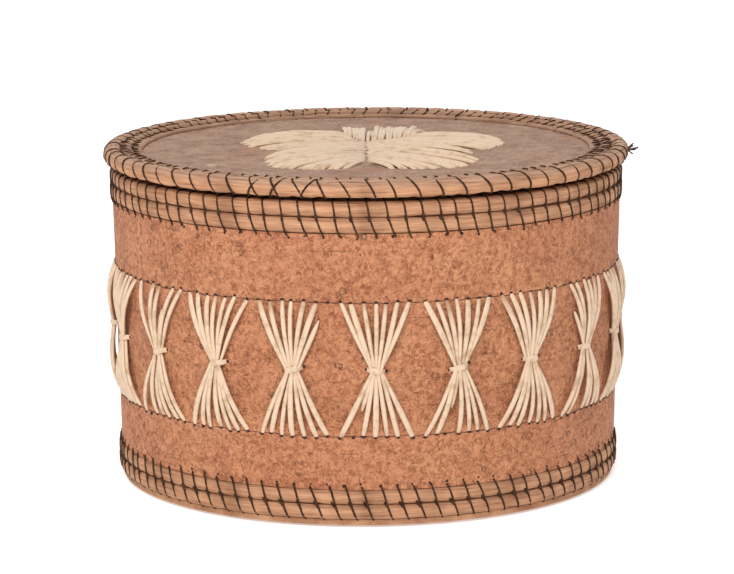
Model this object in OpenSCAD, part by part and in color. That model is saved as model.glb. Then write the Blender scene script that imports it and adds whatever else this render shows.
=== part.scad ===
// Round birch-bark tea caddy with porcupine-quill fans, grass-wrapped rims and a lift-off lid.
// The box stands on z = 0 with its axis on Z, and its front faces -Y. All sizes are in millimetres.

/* [Wall] */
// Outside diameter of the bark wall at its top edge
wall_top_d = 150.4; // [120:0.2:200]
// How much narrower the wall's outside diameter is at its bottom edge
wall_taper = 2.6; // [0:0.1:3.5]
// Height of the bark wall between the two grass rims
wall_h = 73.25; // [55:0.05:120]
// Thickness of the outer bark sheet
wall_t = 1.6; // [1:0.1:2]
// Thickness of the inner bark sheets: wall lining, base lining and lid collar
lining_t = 1.2; // [0.8:0.1:1.4]
// Free space between wall and lining at the wall's bottom edge, where the quill tails end
tail_gap = 1.6; // [1.4:0.1:2.4]

/* [Grass rows] */
// Diameter of each of the two rows around the foot
foot_row_d = 4.3; // [3:0.1:5.5]
// Diameter of each of the two rows around the mouth
mouth_row_d = 4.5; // [3:0.1:5.5]
// How far the foot rows stand out past the wall's bottom edge
foot_proud = 1; // [0:0.1:2]
// How far the mouth rows stand out past the wall's top edge
mouth_proud = 1.1; // [0:0.1:2]
// Diameter of the row around the lid's edge
edge_row_d = 4.7; // [3:0.1:5.5]
// How far the row around the lid's edge stands out past the mouth rows
lid_proud = 1.55; // [0.5:0.05:3]
// Diameter of the two rows that lie on the lid
lid_row_d = 2.4; // [2:0.1:4]

/* [Thread] */
// Diameter of the sewing thread
thread_d = 0.6; // [0.4:0.05:0.8]
// Stitches around the foot and around the mouth, a multiple of 4
rim_stitches = 96; // [60:4:112]
// Stitches around the lid's edge, and again around its inner row, a multiple of 4
lid_stitches = 72; // [48:4:96]
// Distance of the stitch holes from the wall's edges
stitch_inset = 2; // [1.5:0.1:4]
// Half the length of the stitches across the wall's back seam
seam_reach = 2.2; // [1.8:0.1:2.6]

/* [Base and lid] */
// Thickness of the base disc
base_t = 1.6; // [1:0.1:2.4]
// Thickness of the lid disc
lid_t = 1.4; // [1:0.1:2.4]
// Depth of the lid's collar below the mouth's top
collar_h = 9.5; // [6:0.1:20]
// Clearance between the collar's stitches and the mouth's stitches
collar_play = 0.4; // [0.3:0.05:1.5]
// Height of the closed lid's lowest stitches above the mouth's top stitches
lid_rest_gap = 0.35; // [0.3:0.05:1]

/* [Quill fans] */
// Fans around the wall
fans = 20; // [12:1:20]
// Turn of the first fan from the front
fan_turn = 1.8; // [0:0.1:9]
// Quills in a fan
fan_quills = 7; // [5:2:7]
// Distance between neighbouring quill holes in a fan
quill_pitch = 3.3; // [2.6:0.05:3.4]
// Diameter of a fan quill where it bends into its hole
quill_d = 1.6; // [1:0.05:1.8]
// Diameter of a fan quill where it is pinched at the waist
waist_d = 0.7; // [0.5:0.05:0.9]
// Diameter of the quill that lies over a fan's waist
band_d = 1; // [0.7:0.05:1.2]
// Diameter of the quill tails that go through the bark
tail_d = 1; // [0.6:0.05:1.1]
// Height of a fan between its two rows of holes
fan_h = 38.2; // [25:0.1:45]
// Height of the lower row of holes above the wall's bottom edge
fan_lift = 15.5; // [8:0.05:20]

/* [Quill flower] */
// Diameter of a flower quill
flower_quill_d = 1.5; // [1:0.05:1.55]
// Size of the flower, where 1 is 80 mm across
flower_scale = 1; // [0.98:0.01:1.3]

/* [Hidden] */
$fn = 32;
fit = 0.05;                 // gap between pieces that lie against each other
corner = 0.5;               // cut across the corners of a stitch
tail_h = 0.9;               // length of a quill's tail behind the bark
knuckle = 1.06;             // the bend of a quill is this much thicker than the quill
seam_gap = 0.3;             // gap between a sheet's two ends
scarf_angle = 60;           // slope of the ends that lie over each other
lining_seam_turn = -60;     // from the wall's seam to the lining's
collar_seam_turn = 50;      // from the wall's seam to the collar's
lining_drop = 0.2;          // how far the lid's lining lies below the lid's lowest stitches

// Radii, from the wall inwards
wall_top_r = wall_top_d / 2;
wall_foot_r = wall_top_r - wall_taper / 2;
lining_r = wall_foot_r - wall_t - tail_gap;
lining_in_r = lining_r - lining_t;
leg_r = lining_in_r - fit - thread_d / 2;
foot_row_r = max(wall_foot_r + foot_proud - foot_row_d / 2, lining_r + fit + foot_row_d / 2);
mouth_row_r = max(wall_top_r + mouth_proud - mouth_row_d / 2, lining_r + fit + mouth_row_d / 2);
base_r = foot_row_r + foot_row_d / 4;
base_flat_r = leg_r - thread_d / 2 - fit;

// Heights, from the table upwards
recess_h = thread_d + 3 * fit;
base_top_z = recess_h + base_t;
floor_z = base_top_z + fit + lining_t;
foot_row_z = base_top_z + fit + foot_row_d / 2;
wall_z = base_top_z + 2 * (foot_row_d + fit) + fit;
wall_top_z = wall_z + wall_h;
mouth_row_z = wall_top_z + fit + mouth_row_d / 2;
rim_z = wall_top_z + 2 * (mouth_row_d + fit);
mouth_top_z = rim_z + fit + thread_d;

// Lid, from its lowest stitches upwards and from its edge inwards
lid_low_z = mouth_top_z + lid_rest_gap;
edge_row_r = wall_top_r + mouth_proud + lid_proud - edge_row_d / 2;
edge_row_z = lid_low_z + thread_d + fit + edge_row_d / 2;
leg_gap = thread_d + 2 * fit;
middle_row_r = edge_row_r - edge_row_d / 2 - leg_gap - lid_row_d / 2;
inner_row_r = middle_row_r - lid_row_d - leg_gap;
lid_leg_r = (middle_row_r + inner_row_r) / 2;
lid_disc_r = edge_row_r - edge_row_d / 2 - fit;
collar_r = leg_r - thread_d - collar_play - thread_d / 2 - fit;
collar_in_r = collar_r - lining_t;
lid_lining_z = lid_low_z - lining_drop;
lid_lining_top_z = lid_lining_z + lining_t;
lid_disc_z = lid_lining_top_z + thread_d + 2 * fit;
lid_top_z = lid_disc_z + lid_t;
lid_row_z = lid_top_z + fit + lid_row_d / 2;

// Fans
fan_low_z = wall_z + fan_lift;
fan_top_z = fan_low_z + fan_h;
fan_mid_z = (fan_low_z + fan_top_z) / 2;
fan_room = 2 * PI * wall_r(fan_low_z) / fans;
hole_pitch = min(quill_pitch, (fan_room - quill_d * knuckle - fit) / (fan_quills - 1));
waist_pitch = waist_d * knuckle + fit;
waist_lift = waist_d / 2 + 2 * fit;
elbow_lift = quill_d * knuckle / 2 + 2 * fit;
band_lift = waist_lift + (waist_d * knuckle + band_d) / 2 + fit;
band_reach = (fan_quills * waist_pitch + band_d * knuckle) / 2 + fit;

// Each petal is [inner curve, outer curve, quills, short]: a quill runs from the inner to the outer curve, and
// where short is true every second one starts later, to fill the gaps. A curve is [start, control, end].
short_start = 0.55;
front_petal = [[[1.1, 10], [1.1, -9.5], [1.1, -29]], [[27, -7], [38, -46], [9, -40]], 15, false];
left_petal = [[[-10, 31], [-7, 20.5], [-3.4, 12.4]], [[-24.5, 29.5], [-49, 16], [-29, -4]], 13, true];
right_petal = [[[17, 25], [11, 18.5], [5.5, 11.5]], [[30, 25], [48, 10], [33, -8]], 13, true];
back_left_petal = [[[-0.9, 17], [-3.7, 24], [-6.6, 31.5]], [[-0.9, 34], [-3, 46], [-6.6, 37]], 4, false];
back_right_petal = [[[1.8, 15.6], [8, 20.4], [15.2, 26]], [[2, 36], [10, 54], [18.4, 33.6]], 8, false];

bark = "#c98557";
inner_bark = "#b98a63";
lid_bark = "#a97f69";
grass = "#c79a6b";
thread = "#33231c";
quill = "#efdfc0";

function fan_name(i) = str("quill_fan_", i < 10 ? "0" : "", i);
function wall_r(z) = wall_foot_r + (wall_top_r - wall_foot_r) * (z - wall_z) / wall_h;
function fan_angle(i) = -90 + fan_turn + i * 360 / fans;
function mix(a, b, t) = a + (b - a) * t;
function curve(p, t) = mix(mix(p[0], p[1], t), mix(p[1], p[2], t), t);

// The closed outline of a stitch's centre line through x0, x1, y0 and y1, grown by g, with its corners cut
function stitch_line(x0, x1, y0, y1, g) = let (c = corner + g / 2) [
    [x0 - g, y0 - g + c], [x0 - g + c, y0 - g], [x1 + g - c, y0 - g], [x1 + g, y0 - g + c],
    [x1 + g, y1 + g - c], [x1 + g - c, y1 + g], [x0 - g + c, y1 + g], [x0 - g, y1 + g - c]
];

// A closed stitch lying in the XY plane
module stitch(x0, x1, y0, y1)
    linear_extrude(thread_d, center = true)
        difference() {
            polygon(stitch_line(x0, x1, y0, y1, thread_d / 2));
            polygon(stitch_line(x0, x1, y0, y1, -thread_d / 2));
        }

// One stitch after another around a rim, each in a plane through the axis, between r0 and r1 and z0 and z1
module rim_stitching(r0, r1, z0, z1, stitches, shift = 0)
    color(thread)
        for (i = [0:stitches - 1])
            rotate([0, 0, (i + shift) * 360 / stitches]) rotate([90, 0, 0]) stitch(r0, r1, z0, z1);

// A quill with both ends turned down: its run goes along X from the origin
module staple(d, run, leg) {
    rotate([0, 90, 0]) cylinder(d = d, h = run);
    for (x = [0, run])
        translate([x, 0, 0]) {
            sphere(d = d * knuckle);
            translate([0, 0, -leg]) cylinder(d = d, h = leg);
        }
}

module grass_row(r, d, z)
    color(grass) translate([0, 0, z]) rotate_extrude() translate([r, 0]) circle(d = d);

// A thin slanting cut through a bent sheet, where its two ends lie over each other
module scarf_cut(r, t, z, h, a)
    rotate([0, 0, a]) translate([r - t / 2, 0, z - 1]) rotate([0, 0, scarf_angle])
        translate([-3 * t, -seam_gap / 2, 0]) cube([6 * t, seam_gap, h + 2]);

module base_disc()
    color(inner_bark)
        rotate_extrude()
            polygon([
                [0, 0], [base_flat_r - recess_h, 0], [base_flat_r, recess_h], [base_r, recess_h],
                [base_r, base_top_z], [base_flat_r, base_top_z], [base_flat_r - recess_h, base_t], [0, base_t]
            ]);

module base_lining()
    color(inner_bark) translate([0, 0, base_top_z + fit]) cylinder(r = lining_r, h = lining_t);

module outer_wall()
    color(bark)
        difference() {
            rotate_extrude()
                polygon([
                    [wall_foot_r - wall_t, wall_z], [wall_foot_r, wall_z],
                    [wall_top_r, wall_top_z], [wall_top_r - wall_t, wall_top_z]
                ]);
            scarf_cut(wall_foot_r, wall_t, wall_z, wall_h, seam_angle());
        }

function seam_angle() = fan_angle(floor(fans / 2)) + 180 / fans;

module wall_lining()
    color(inner_bark)
        difference() {
            translate([0, 0, floor_z + fit]) cylinder(r = lining_r, h = rim_z - floor_z - fit);
            translate([0, 0, floor_z - 1]) cylinder(r = lining_in_r, h = rim_z - floor_z + 2);
            scarf_cut(lining_r, lining_t, floor_z, rim_z - floor_z, seam_angle() + lining_seam_turn);
        }

module foot_thread()
    rim_stitching(leg_r, foot_row_r + foot_row_d / 2 + fit + thread_d / 2,
        recess_h - fit - thread_d / 2, wall_z + stitch_inset, rim_stitches);

module mouth_thread()
    rim_stitching(leg_r, mouth_row_r + mouth_row_d / 2 + fit + thread_d / 2,
        wall_top_z - stitch_inset, rim_z + fit + thread_d / 2, rim_stitches);

// Stitches across the back seam: two below the fans, three between them and two above
module wall_seam_thread()
    color(thread)
        for (z = [for (k = [1:2], span = [[wall_z, fan_low_z], [fan_top_z, wall_top_z]]) mix(span[0], span[1], k / 3),
                  for (k = [1:3]) mix(fan_low_z, fan_top_z, k / 4)])
            rotate([0, 0, seam_angle()]) translate([0, 0, z])
                stitch(wall_r(z) - wall_t - thread_d, wall_r(z) + fit + thread_d / 2, -seam_reach, seam_reach);

// Half of fan quill k, from its waist at the origin up or down to its hole and through the bark
module half_quill(k, up) {
    z = up * fan_h / 2;
    hole_r = wall_r(fan_mid_z + z);
    turn = k * hole_pitch / hole_r * 180 / PI;
    v = [
        (hole_r + elbow_lift) * cos(turn) - wall_r(fan_mid_z) - waist_lift,
        (hole_r + elbow_lift) * sin(turn) - k * waist_pitch,
        z
    ];
    lean = acos(v.z / norm(v));
    heading = atan2(v.y, v.x);
    rotate([0, 0, heading]) rotate([0, lean, 0]) {
        cylinder(d1 = waist_d, d2 = quill_d, h = norm(v));
        translate([0, 0, norm(v)]) {
            sphere(d = quill_d * knuckle);
            rotate([0, -lean, 0]) rotate([0, 0, turn - heading]) rotate([0, -90, 0])
                cylinder(d = tail_d, h = elbow_lift + wall_t + tail_h);
        }
    }
}

// One fan: quills from the upper row of holes to the lower, pinched together half way
module quill_fan(i)
    color(quill)
        rotate([0, 0, fan_angle(i)])
            for (k = [-(fan_quills - 1) / 2:(fan_quills - 1) / 2])
                translate([wall_r(fan_mid_z) + waist_lift, k * waist_pitch, fan_mid_z]) {
                    sphere(d = waist_d * knuckle);
                    half_quill(k, 1);
                    half_quill(k, -1);
                }

// The short quill over each fan's waist, with both ends through the bark
module waist_bands()
    color(quill)
        for (i = [0:fans - 1])
            rotate([0, 0, fan_angle(i)])
                translate([wall_r(fan_mid_z) + band_lift, -band_reach, fan_mid_z]) rotate([90, 0, 90])
                    staple(band_d, 2 * band_reach, band_lift + wall_t + tail_h);

module lid_disc()
    color(lid_bark) translate([0, 0, lid_disc_z]) cylinder(r = lid_disc_r, h = lid_t);

module lid_lining()
    color(inner_bark) translate([0, 0, lid_lining_z]) cylinder(r = collar_in_r - fit, h = lining_t);

module lid_collar()
    color(inner_bark)
        difference() {
            translate([0, 0, mouth_top_z - collar_h])
                cylinder(r = collar_r, h = lid_lining_top_z - mouth_top_z + collar_h);
            translate([0, 0, mouth_top_z - collar_h - 1]) cylinder(r = collar_in_r, h = collar_h * 2);
            scarf_cut(collar_r, lining_t, mouth_top_z - collar_h, collar_h * 2, seam_angle() + collar_seam_turn);
        }

module lid_edge_thread()
    rim_stitching(lid_leg_r, edge_row_r + edge_row_d / 2 + fit + thread_d / 2,
        lid_low_z + thread_d / 2, lid_row_z + lid_row_d / 2 + fit + thread_d / 2, lid_stitches);

module lid_inner_thread()
    rim_stitching(collar_in_r - thread_d - 2 * fit, collar_r + fit + thread_d / 2,
        lid_lining_z - thread_d, lid_row_z + lid_row_d / 2 + fit + thread_d / 2, lid_stitches, 0.5);

// A petal's quills lie side by side on the lid, each with both ends through the bark
module petal(p, side) {
    lift = flower_quill_d * knuckle / 2 + 2 * fit;
    color(quill)
        for (k = [0:p[2] - 1]) {
            t = k / (p[2] - 1);
            tip = curve(p[1], t) * flower_scale;
            root = mix(curve(p[0], t) * flower_scale, tip, p[3] && k % 2 == 1 ? short_start : 0);
            run = tip - root;
            translate([side * root.x, root.y, lid_top_z + lift]) rotate([0, 0, atan2(run.y, side * run.x)])
                staple(flower_quill_d, norm(run), lift + lid_t + thread_d / 2);
        }
}

base_disc();
base_lining();
outer_wall();
wall_lining();
grass_row(foot_row_r, foot_row_d, foot_row_z);  // foot_row_lower
grass_row(foot_row_r, foot_row_d, foot_row_z + foot_row_d + fit);  // foot_row_upper
grass_row(mouth_row_r, mouth_row_d, mouth_row_z);  // mouth_row_lower
grass_row(mouth_row_r, mouth_row_d, mouth_row_z + mouth_row_d + fit);  // mouth_row_upper
foot_thread();
mouth_thread();
wall_seam_thread();
for (i = [0:fans - 1])
    quill_fan(i);
waist_bands();
lid_disc();
lid_lining();
lid_collar();
grass_row(edge_row_r, edge_row_d, edge_row_z);  // lid_edge_row
grass_row(middle_row_r, lid_row_d, lid_row_z);  // lid_middle_row
grass_row(inner_row_r, lid_row_d, lid_row_z);  // lid_inner_row
lid_edge_thread();
lid_inner_thread();
petal(front_petal, -1);  // petal_front_left
petal(front_petal, 1);  // petal_front_right
petal(left_petal, 1);  // petal_left
petal(right_petal, 1);  // petal_right
petal(back_left_petal, 1);  // petal_back_left
petal(back_right_petal, 1);  // petal_back_right
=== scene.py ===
import bpy
import math
import random
from mathutils import Matrix, Vector


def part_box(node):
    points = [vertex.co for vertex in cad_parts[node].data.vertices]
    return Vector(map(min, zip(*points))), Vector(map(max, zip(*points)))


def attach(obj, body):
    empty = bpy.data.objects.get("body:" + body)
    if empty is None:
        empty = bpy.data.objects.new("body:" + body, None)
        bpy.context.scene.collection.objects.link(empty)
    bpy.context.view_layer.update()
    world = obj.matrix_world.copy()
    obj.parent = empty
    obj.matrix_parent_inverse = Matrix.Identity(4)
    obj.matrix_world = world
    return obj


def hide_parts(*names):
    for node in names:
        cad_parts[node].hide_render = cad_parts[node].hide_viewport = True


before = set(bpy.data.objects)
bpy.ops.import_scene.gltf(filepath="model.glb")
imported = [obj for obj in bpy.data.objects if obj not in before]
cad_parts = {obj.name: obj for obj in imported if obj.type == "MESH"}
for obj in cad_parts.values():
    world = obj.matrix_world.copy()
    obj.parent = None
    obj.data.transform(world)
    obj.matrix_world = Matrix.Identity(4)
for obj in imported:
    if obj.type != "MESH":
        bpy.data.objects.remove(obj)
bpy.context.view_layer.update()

dice = random.Random(20)   # everything uneven is drawn from this, in a fixed order
mm = 0.001
scene = bpy.context.scene


def clearSelection():
    if bpy.context.mode != "OBJECT":
        bpy.ops.object.mode_set(mode="OBJECT")
    bpy.ops.object.select_all(action="DESELECT")


def makeActive(piece):
    clearSelection()
    piece.select_set(True)
    bpy.context.view_layer.objects.active = piece


def pick(piece, kind, wanted):  # leaves edit mode open with only the wanted vertices, edges or faces selected
    makeActive(piece)
    bpy.ops.object.mode_set(mode="EDIT")
    bpy.ops.mesh.select_mode(type=kind)
    bpy.ops.mesh.select_all(action="DESELECT")
    bpy.ops.object.mode_set(mode="OBJECT")
    mesh = piece.data
    for element in {"VERT": mesh.vertices, "EDGE": mesh.edges, "FACE": mesh.polygons}[kind]:
        element.select = bool(wanted(element))
    bpy.ops.object.mode_set(mode="EDIT")


def endsOf(piece, edge):
    return [piece.data.vertices[index].co for index in edge.vertices]


def addWaves(piece, name, size, depth, middle=0.5):  # makes a surface uneven
    texture = bpy.data.textures.new(name, type="CLOUDS")
    texture.noise_scale = size
    waves = piece.modifiers.new("waves", "DISPLACE")
    waves.texture = texture
    waves.strength = depth
    waves.mid_level = middle
    waves.texture_coords = "LOCAL"
    return waves


def applyModifiers(piece):
    makeActive(piece)
    for modifier in list(piece.modifiers):
        bpy.ops.object.modifier_apply(modifier=modifier.name)


def copyOf(piece, placing):  # a copy with its own mesh, put in place by a matrix
    double = piece.copy()
    double.data = piece.data.copy()
    double.data.transform(placing)
    scene.collection.objects.link(double)
    return double


def joinAs(name, parts):
    clearSelection()
    for part in parts:
        part.select_set(True)
    bpy.context.view_layer.objects.active = parts[0]
    if len(parts) > 1:
        bpy.ops.object.join()
    whole = bpy.context.view_layer.objects.active
    whole.name = name
    return whole


def finishPiece(piece, body, material, nodes=(), smooth=60):
    makeActive(piece)
    bpy.ops.object.transform_apply(location=True, rotation=True, scale=True)
    piece.data.materials.clear()
    piece.data.materials.append(material)
    bpy.ops.object.shade_smooth_by_angle(angle=math.radians(smooth))
    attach(piece, body)
    if nodes:
        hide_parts(*nodes)


def paintNode(name, material):  # for a node that is shown as it is
    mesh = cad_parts[name].data
    mesh.materials.clear()
    mesh.materials.append(material)


def turned(degrees):
    return Matrix.Rotation(math.radians(degrees), 4, "Z")


def layThread(points, thickness):  # a round strand along a path, as a mesh
    clearSelection()
    bpy.ops.curve.primitive_nurbs_path_add()
    strand = bpy.context.object
    spline = strand.data.splines[0]
    while len(points) < len(spline.points):   # a new path starts with more points than a short knot has
        between = (Vector(points[0]) + Vector(points[1])) / 2
        points = points[:1] + [tuple(between)] + points[1:]
    spline.points.add(len(points) - len(spline.points))
    for point, place in zip(spline.points, points):
        point.co = (*place, 1)
    spline.order_u = 3
    spline.use_endpoint_u = True
    strand.data.resolution_u = 1
    strand.data.bevel_depth = thickness / 2
    strand.data.bevel_resolution = 1
    strand.data.use_fill_caps = True
    bpy.ops.object.convert(target="MESH")
    return bpy.context.object


def newMaterial(name, roughness):
    material = bpy.data.materials.new(name)
    material.use_nodes = True
    shader = material.node_tree.nodes["Principled BSDF"]
    shader.inputs["Roughness"].default_value = roughness
    shader.inputs["Specular IOR Level"].default_value = 0.35
    return material, shader


def addNode(material, kind, **values):
    node = material.node_tree.nodes.new(kind)
    for key, value in values.items():
        if hasattr(node, key):
            setattr(node, key, value)
        else:
            node.inputs[key].default_value = value
    return node


def wire(material, source, target, key, output=0):
    material.node_tree.links.new(source.outputs[output], target.inputs[key])


def noiseOn(material, place, scale, **values):  # noise on the piece's own coordinates
    noise = addNode(material, "ShaderNodeTexNoise", Scale=scale, **values)
    wire(material, place, noise, "Vector", 3)
    return noise


def rampOf(material, stops):
    ramp = material.node_tree.nodes.new("ShaderNodeValToRGB")
    points = ramp.color_ramp.elements
    while len(points) < len(stops):
        points.new(0.5)
    for point, (place, colour) in zip(points, stops):
        point.position = place
        point.color = (*colour, 1)
    return ramp


def mixColour(material, share, first, second, blend="MIX"):
    mixer = material.node_tree.nodes.new("ShaderNodeMix")
    mixer.data_type = "RGBA"
    mixer.blend_type = blend
    if isinstance(share, float):
        mixer.inputs[0].default_value = share
    else:
        material.node_tree.links.new(share, mixer.inputs[0])
    for index, colour in ((6, first), (7, second)):
        if isinstance(colour, tuple):
            mixer.inputs[index].default_value = (*colour, 1)
        else:
            material.node_tree.links.new(colour, mixer.inputs[index])
    return mixer.outputs[2]


def calc(material, operation, first, second=0.0, third=0.0, clamp=False):
    node = material.node_tree.nodes.new("ShaderNodeMath")
    node.operation = operation
    node.use_clamp = clamp
    for index, value in enumerate((first, second, third)):
        if isinstance(value, (int, float)):
            node.inputs[index].default_value = value
        else:
            material.node_tree.links.new(value, node.inputs[index])
    return node.outputs[0]


def addBump(material, shader, height, depth):
    bump = addNode(material, "ShaderNodeBump", Strength=1.0, Distance=depth)
    material.node_tree.links.new(height, bump.inputs["Height"])
    wire(material, bump, shader, "Normal")


barkLook = {
    "wrinkle": 820,          # this and the next four are counts to the metre
    "pits": 560,             # small cells that break up the wrinkles
    "lumps": 210,
    "patches": 34,
    "grain": 3200,
    "wrinkleShare": 0.64,
    "lumpShare": 0.22,
    "pitShare": 0.15,
    "grainShare": 0.15,
    "ridge": (0.63, 0.280, 0.142),
    "middle": (0.465, 0.179, 0.083),
    "hollow": (0.275, 0.093, 0.041),
    "relief": 1.7 * mm,
}
marksLook = {
    "curls": 150,            # cells to the metre, some of which hold a small dark curl
    "curlSize": 0.16,        # as a share of a cell
    "curlWidth": 0.035,
    "curlBend": 0.5,
    "curlBreaks": 0.44,
    "curlDepth": 0.62,
    "curlRarity": 0.66,      # share of the cells without a curl
    "scratchScale": (70, 70, 1150),   # to the metre: long around the wall, thin in height
    "scratchRarity": 0.66,
    "scratchDepth": 0.55,
    "cutWidth": 0.24 * mm,
    "cutWobble": 1.5 * mm,
    "cutDepth": 1.0,
    "sunk": 0.35,
    "colour": (0.085, 0.030, 0.015),
}


def curlMask(material, place, wrinkles):  # small rings, bent and broken by the wrinkles
    cells = addNode(material, "ShaderNodeTexVoronoi", Scale=marksLook["curls"], Randomness=1.0)
    wire(material, place, cells, "Vector", 3)
    bend = marksLook["curlBend"]
    straight = calc(material, "SUBTRACT", cells.outputs["Distance"], bend / 2)
    bent = calc(material, "MULTIPLY_ADD", wrinkles.outputs[0], bend, straight)
    gap = calc(material, "ABSOLUTE", calc(material, "SUBTRACT", bent, marksLook["curlSize"]))
    share = calc(material, "DIVIDE", gap, marksLook["curlWidth"])
    curl = calc(material, "SUBTRACT", 1.0, share, clamp=True)
    cellTint = addNode(material, "ShaderNodeSeparateColor")
    wire(material, cells, cellTint, "Color", 1)
    chosen = calc(material, "GREATER_THAN", cellTint.outputs[0], marksLook["curlRarity"])
    unbroken = calc(material, "GREATER_THAN", wrinkles.outputs[0], marksLook["curlBreaks"])
    return calc(material, "MULTIPLY", calc(material, "MULTIPLY", curl, chosen), unbroken)


def scratchMask(material, place):  # short level scratches
    stretched = addNode(material, "ShaderNodeMapping")
    stretched.inputs["Scale"].default_value = marksLook["scratchScale"]
    wire(material, place, stretched, "Vector", 3)
    scratches = addNode(material, "ShaderNodeTexNoise", Scale=1.0, Detail=2.0)
    wire(material, stretched, scratches, "Vector")
    above = calc(material, "SUBTRACT", scratches.outputs[0], marksLook["scratchRarity"])
    return calc(material, "MULTIPLY", above, 9.0, clamp=True)


def cutMask(material, place, cutLines, lumps, wrinkles):  # wavering cuts at given heights, faint in places
    heightNode = addNode(material, "ShaderNodeSeparateXYZ")
    wire(material, place, heightNode, "Vector", 3)
    sway = marksLook["cutWobble"]
    wobble = calc(material, "MULTIPLY_ADD", lumps.outputs[0], sway, -sway / 2)
    level = calc(material, "ADD", heightNode.outputs[2], wobble)
    nearest = None
    for line in cutLines:
        gap = calc(material, "ABSOLUTE", calc(material, "SUBTRACT", level, line))
        nearest = gap if nearest is None else calc(material, "MINIMUM", nearest, gap)
    share = calc(material, "DIVIDE", nearest, marksLook["cutWidth"])
    cut = calc(material, "SUBTRACT", 1.0, share, clamp=True)
    whole = calc(material, "MULTIPLY", calc(material, "SUBTRACT", wrinkles.outputs[0], 0.36), 6.0, clamp=True)
    return calc(material, "MULTIPLY", cut, whole)


def wallBarkMaterial(cutLines):
    material, shader = newMaterial("wall bark", 0.78)
    place = addNode(material, "ShaderNodeTexCoord")
    wrinkles = noiseOn(material, place, barkLook["wrinkle"], Detail=3.0, Roughness=0.55, Distortion=1.4)
    lumps = noiseOn(material, place, barkLook["lumps"], Detail=3.0, Roughness=0.6, Distortion=0.6)
    patches = noiseOn(material, place, barkLook["patches"], Detail=3.0, Roughness=0.55)
    grain = noiseOn(material, place, barkLook["grain"], Detail=2.0, Roughness=0.5)
    pits = addNode(material, "ShaderNodeTexVoronoi", Scale=barkLook["pits"], Randomness=1.0)
    wire(material, place, pits, "Vector", 3)
    surface = calc(material, "MULTIPLY", wrinkles.outputs[0], barkLook["wrinkleShare"])
    surface = calc(material, "MULTIPLY_ADD", lumps.outputs[0], barkLook["lumpShare"], surface)
    surface = calc(material, "MULTIPLY_ADD", pits.outputs["Distance"], barkLook["pitShare"], surface)
    stops = [(0.36, barkLook["hollow"]), (0.47, barkLook["middle"]), (0.58, barkLook["ridge"])]
    ramp = rampOf(material, stops)
    material.node_tree.links.new(surface, ramp.inputs["Fac"])
    blotch = rampOf(material, [(0.36, (0.93, 0.88, 0.86)), (0.60, (1.02, 1.02, 1.0))])
    wire(material, patches, blotch, "Fac")
    colour = mixColour(material, 1.0, ramp.outputs[0], blotch.outputs[0], "MULTIPLY")
    curl = curlMask(material, place, wrinkles)
    scratch = scratchMask(material, place)
    cut = cutMask(material, place, cutLines, lumps, wrinkles)
    for mask, depth in ((curl, "curlDepth"), (scratch, "scratchDepth"), (cut, "cutDepth")):
        share = calc(material, "MULTIPLY", mask, marksLook[depth])
        colour = mixColour(material, share, colour, marksLook["colour"])
    material.node_tree.links.new(colour, shader.inputs["Base Color"])
    height = calc(material, "MULTIPLY_ADD", grain.outputs[0], barkLook["grainShare"], surface)
    sunk = calc(material, "MULTIPLY", calc(material, "MAXIMUM", cut, curl), marksLook["sunk"])
    addBump(material, shader, calc(material, "SUBTRACT", height, sunk), barkLook["relief"])
    return material


lidLook = {
    "fibres": 900,           # this and the next two are counts to the metre
    "lumps": 170,
    "patches": 42,
    "pale": (0.45, 0.285, 0.205),
    "dark": (0.215, 0.108, 0.068),
    "red": (0.36, 0.14, 0.075),
    "redRarity": 0.56,
    "redDepth": 0.6,
    "scarColour": (0.62, 0.42, 0.31),
    "relief": 0.8 * mm,
    "spots": ((2, -43, 5), (63, 21, 6), (2, 57, 5), (50, 31, 3)),   # x, y and size in mm
    "scar": (-44, -33, 3.2),
}


def lidBarkMaterial():
    material, shader = newMaterial("lid bark", 0.85)
    place = addNode(material, "ShaderNodeTexCoord")
    fibres = noiseOn(material, place, lidLook["fibres"], Detail=4.0, Roughness=0.7, Distortion=0.6)
    lumps = noiseOn(material, place, lidLook["lumps"], Detail=4.0, Roughness=0.65)
    patches = noiseOn(material, place, lidLook["patches"], Detail=4.0, Roughness=0.6)
    surface = calc(material, "MULTIPLY", fibres.outputs[0], 0.55)
    surface = calc(material, "MULTIPLY_ADD", lumps.outputs[0], 0.45, surface)
    ramp = rampOf(material, [(0.36, lidLook["dark"]), (0.58, lidLook["pale"])])
    material.node_tree.links.new(surface, ramp.inputs["Fac"])
    redness = calc(material, "SUBTRACT", patches.outputs[0], lidLook["redRarity"])
    redness = calc(material, "MULTIPLY", redness, 5.0, clamp=True)
    for x, y, size in lidLook["spots"]:
        redness = calc(material, "MAXIMUM", redness, spotMask(material, place, (x, y), size, lumps))
    share = calc(material, "MULTIPLY", redness, lidLook["redDepth"])
    colour = mixColour(material, share, ramp.outputs[0], lidLook["red"])
    x, y, size = lidLook["scar"]
    scar = spotMask(material, place, (x, y), size, lumps)
    colour = mixColour(material, scar, colour, lidLook["scarColour"])
    material.node_tree.links.new(colour, shader.inputs["Base Color"])
    addBump(material, shader, surface, lidLook["relief"])
    return material


def spotMask(material, place, centre, size, ragged):  # a ragged round spot seen from above
    flat = addNode(material, "ShaderNodeVectorMath", operation="MULTIPLY")
    flat.inputs[1].default_value = (1, 1, 0)
    wire(material, place, flat, 0, 3)
    gap = addNode(material, "ShaderNodeVectorMath", operation="DISTANCE")
    gap.inputs[1].default_value = (centre[0] * mm, centre[1] * mm, 0)
    wire(material, flat, gap, 0)
    edge = calc(material, "MULTIPLY_ADD", ragged.outputs[0], 4 * size * mm, -1.2 * size * mm)
    inside = calc(material, "SUBTRACT", edge, gap.outputs["Value"])
    return calc(material, "MULTIPLY", inside, 1 / (0.5 * size * mm), clamp=True)


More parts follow.
